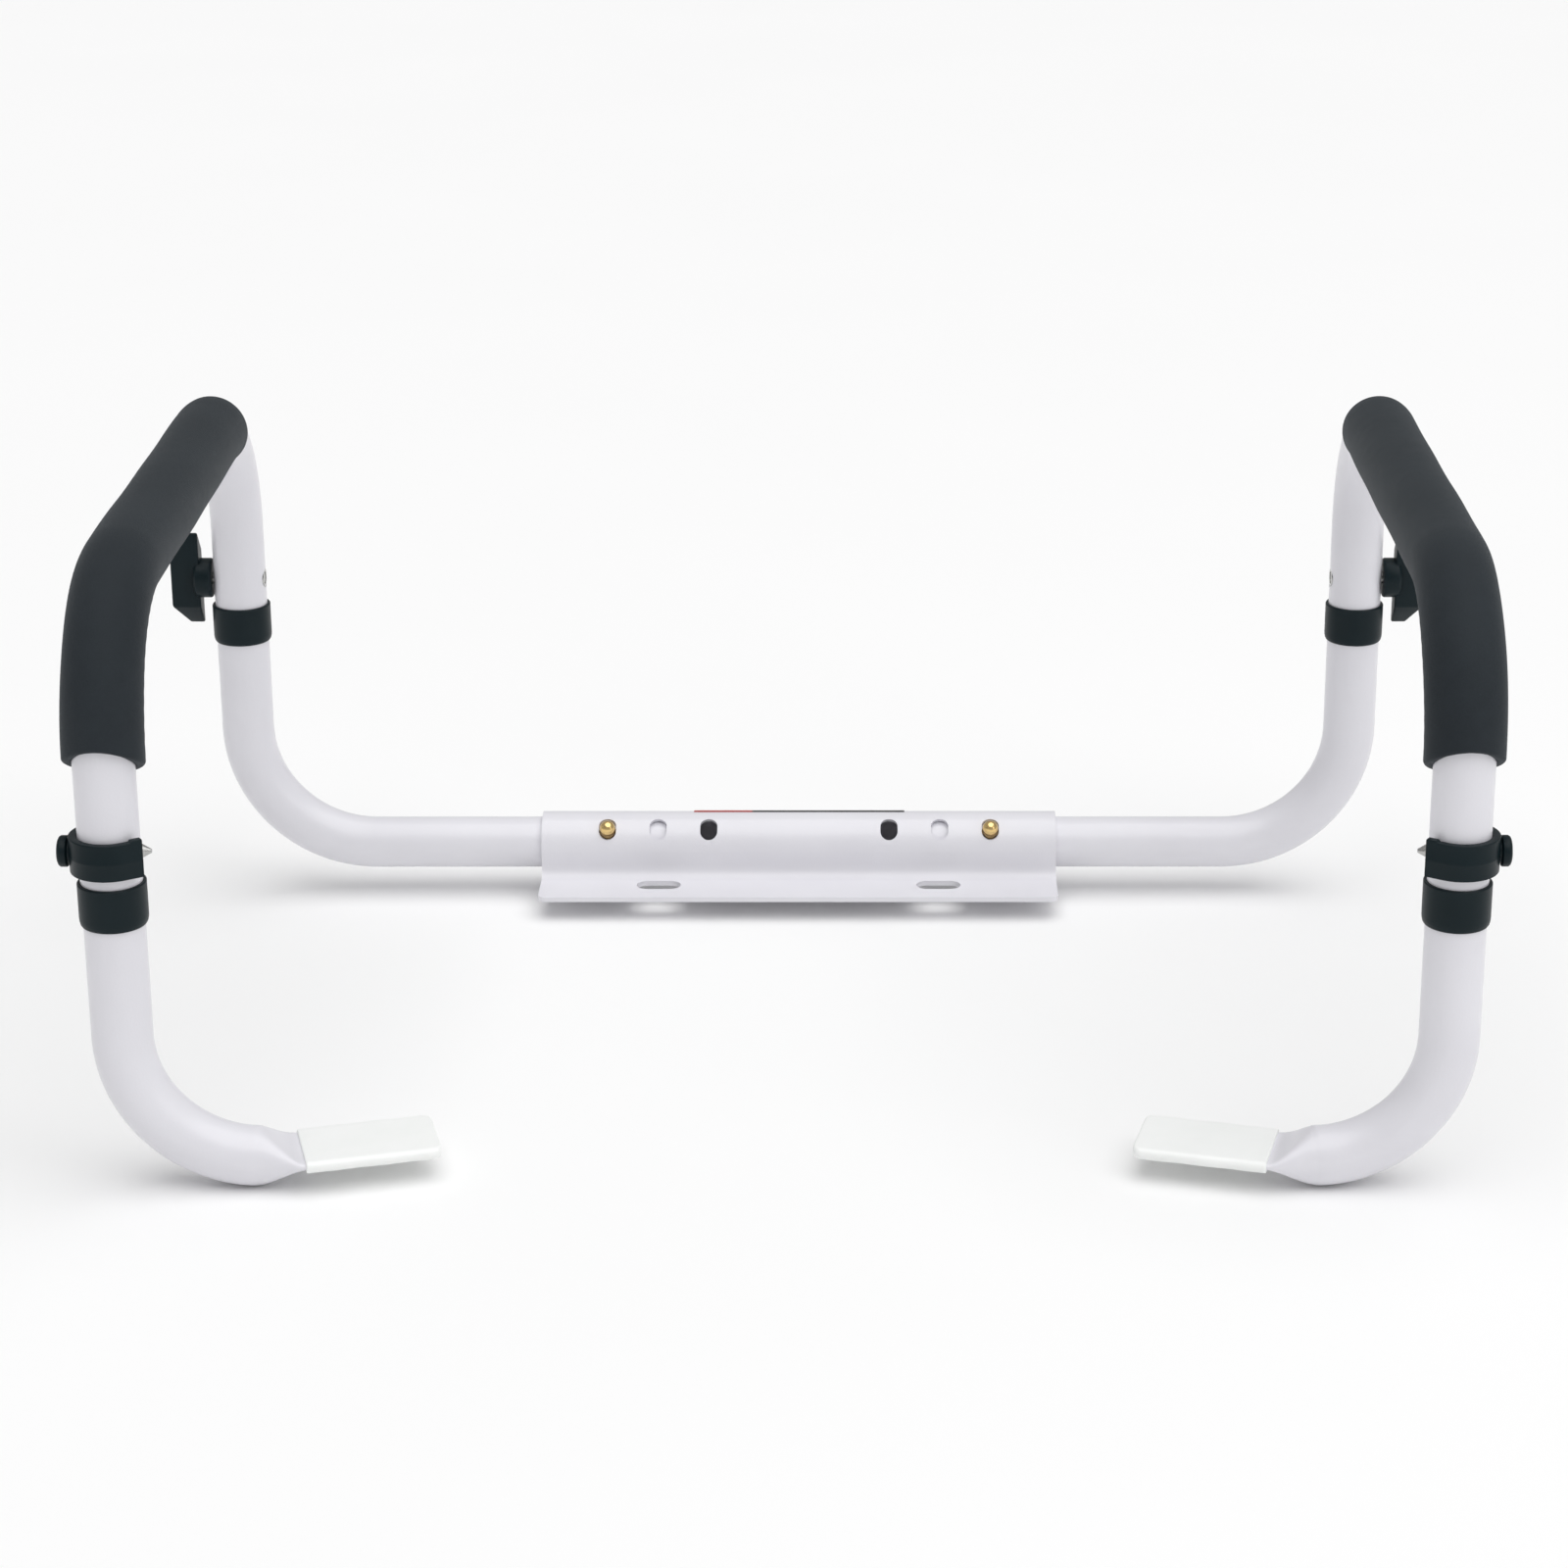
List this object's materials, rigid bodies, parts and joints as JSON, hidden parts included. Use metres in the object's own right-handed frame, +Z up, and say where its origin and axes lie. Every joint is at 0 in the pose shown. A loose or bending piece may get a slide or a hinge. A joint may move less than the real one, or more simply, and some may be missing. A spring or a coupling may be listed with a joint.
{
  "type": "toilet support frame",
  "caption": "Padded two-arm support frame that bolts under toilet seat bolts and rests on the bowl rim, adjustable in width and height.",
  "frame": {"origin": "midway between the two bolt slots, on the underside of the bracket's flange, which is the rim plane", "axes": "+X to the right seen from the front, +Y to the back, +Z up"},
  "size_m": [0.6162, 0.3723, 0.2698],
  "materials": {
    "white_powder_coat": "smooth lilac-white powder coat, semi-gloss",
    "label": "thin printed film, blank",
    "brass_button": "polished",
    "spring_steel": "blank spring strip",
    "foam": "matte closed-cell foam",
    "dark_plastic": "moulded, slightly glossy",
    "zinc_steel": "zinc plated",
    "white_vinyl": "soft vinyl, smooth"
  },
  "bodies": {
    "bracket": {"mounting_bracket": "white_powder_coat", "bracket_label": "label"},
    "left_arm": {"left_rear_arm_tube": "white_powder_coat", "left_button_spring": "spring_steel"},
    "left_button": {"left_width_button": "brass_button"},
    "left_handle": {"left_handle_tube": "white_powder_coat", "left_foam_grip": "foam", "left_rear_collar": "dark_plastic", "left_front_collar": "dark_plastic", "left_bolt_insert": "zinc_steel"},
    "left_knob": {"left_knob": "dark_plastic", "left_knob_bolt": "zinc_steel"},
    "left_clip": {"left_lock_clip": "dark_plastic", "left_lock_pin": "zinc_steel"},
    "left_foot": {"left_front_foot_tube": "white_powder_coat", "left_blade_sleeve": "white_vinyl"},
    "right_arm": {"right_rear_arm_tube": "white_powder_coat", "right_button_spring": "spring_steel"},
    "right_button": {"right_width_button": "brass_button"},
    "right_handle": {"right_handle_tube": "white_powder_coat", "right_foam_grip": "foam", "right_rear_collar": "dark_plastic", "right_front_collar": "dark_plastic", "right_bolt_insert": "zinc_steel"},
    "right_knob": {"right_knob": "dark_plastic", "right_knob_bolt": "zinc_steel"},
    "right_clip": {"right_lock_clip": "dark_plastic", "right_lock_pin": "zinc_steel"},
    "right_foot": {"right_front_foot_tube": "white_powder_coat", "right_blade_sleeve": "white_vinyl"}
  },
  "joints": [
    {"name": "left_arm_slide", "type": "slide", "parent": "bracket", "child": "left_arm", "axis": [1, 0, 0], "range_m": [0, 0.0508], "deforming": ["left_width_button"]},
    {"name": "left_button_press", "type": "slide", "parent": "left_arm", "child": "left_button", "axis": [0, 0.7071, -0.7071], "range_m": [0, 0.0055], "stiffness_N_per_m": 600},
    {"name": "left_handle_height", "type": "slide", "parent": "left_arm", "child": "left_handle", "axis": [0, 0, 1], "range_m": [0, 0.022]},
    {"name": "left_foot_height", "type": "slide", "parent": "left_handle", "child": "left_foot", "axis": [0, 0, 1], "range_m": [-0.022, 0]},
    {"name": "left_knob_turn", "type": "hinge", "parent": "left_handle", "child": "left_knob", "pos_m": [-0.295, 0.027, 0.1545], "axis": [-1, 0, 0], "continuous": true},
    {"name": "left_clip_pull", "type": "slide", "parent": "left_handle", "child": "left_clip", "axis": [-1, 0, 0], "range_m": [0, 0.045], "deforming": ["left_lock_clip"]},
    {"name": "right_arm_slide", "type": "slide", "parent": "bracket", "child": "right_arm", "axis": [-1, 0, 0], "range_m": [0, 0.0508], "deforming": ["right_width_button"]},
    {"name": "right_button_press", "type": "slide", "parent": "right_arm", "child": "right_button", "axis": [0, 0.7071, -0.7071], "range_m": [0, 0.0055], "stiffness_N_per_m": 600},
    {"name": "right_handle_height", "type": "slide", "parent": "right_arm", "child": "right_handle", "axis": [0, 0, 1], "range_m": [0, 0.022]},
    {"name": "right_foot_height", "type": "slide", "parent": "right_handle", "child": "right_foot", "axis": [0, 0, 1], "range_m": [-0.022, 0]},
    {"name": "right_knob_turn", "type": "hinge", "parent": "right_handle", "child": "right_knob", "pos_m": [0.295, 0.027, 0.1545], "axis": [1, 0, 0], "continuous": true},
    {"name": "right_clip_pull", "type": "slide", "parent": "right_handle", "child": "right_clip", "axis": [1, 0, 0], "range_m": [0, 0.045], "deforming": ["right_lock_clip"]}
  ],
  "couplings": [
    {"joint": "left_foot_height", "follows": "left_handle_height", "ratio": -1},
    {"joint": "right_foot_height", "follows": "right_handle_height", "ratio": -1}
  ]
}
